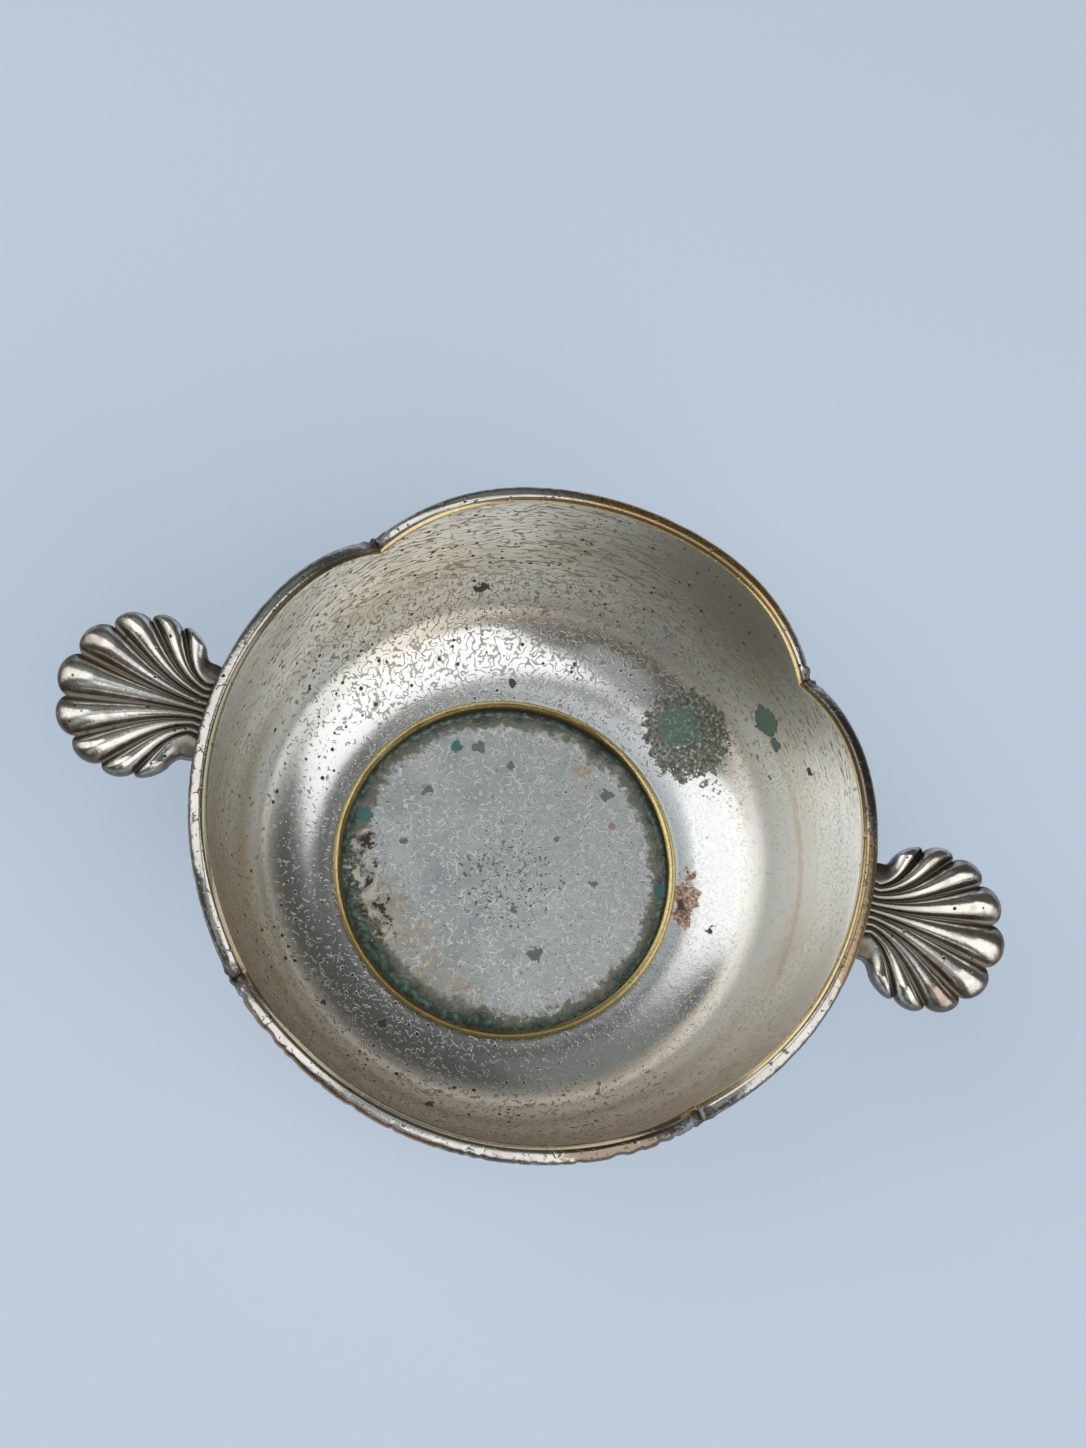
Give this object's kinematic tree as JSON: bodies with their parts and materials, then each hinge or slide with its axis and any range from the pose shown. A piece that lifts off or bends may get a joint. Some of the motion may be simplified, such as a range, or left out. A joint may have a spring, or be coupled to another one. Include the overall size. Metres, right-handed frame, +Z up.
{
  "type": "two-handled trinket dish",
  "caption": "Deep round metal dish with a lobed, wire-edged rim, a sunk flat floor and a pair of shell-shaped side handles, for rings and other small things.",
  "frame": {"origin": "on the table under the middle of the dish", "axes": "+X towards the right handle, +Y to the far side, +Z up"},
  "size_m": [0.1606, 0.1122, 0.0445],
  "materials": {
    "wall_plate": "worn silver plate over brass, scratched and spotted",
    "pan_plate": "dull worn silver plate over brass, with verdigris round the edge",
    "wire_plate": "silver plate over brass, worn through on the high places",
    "handle_plate": "silver plate over cast brass, dark in the grooves"
  },
  "bodies": {
    "root": {"bowl_wall": "wall_plate", "base_pan": "pan_plate", "rim_wire_right": "wire_plate", "rim_wire_far": "wire_plate", "rim_wire_left": "wire_plate", "rim_wire_near": "wire_plate", "shell_handle_right": "handle_plate", "shell_handle_left": "handle_plate"}
  },
  "joints": []
}
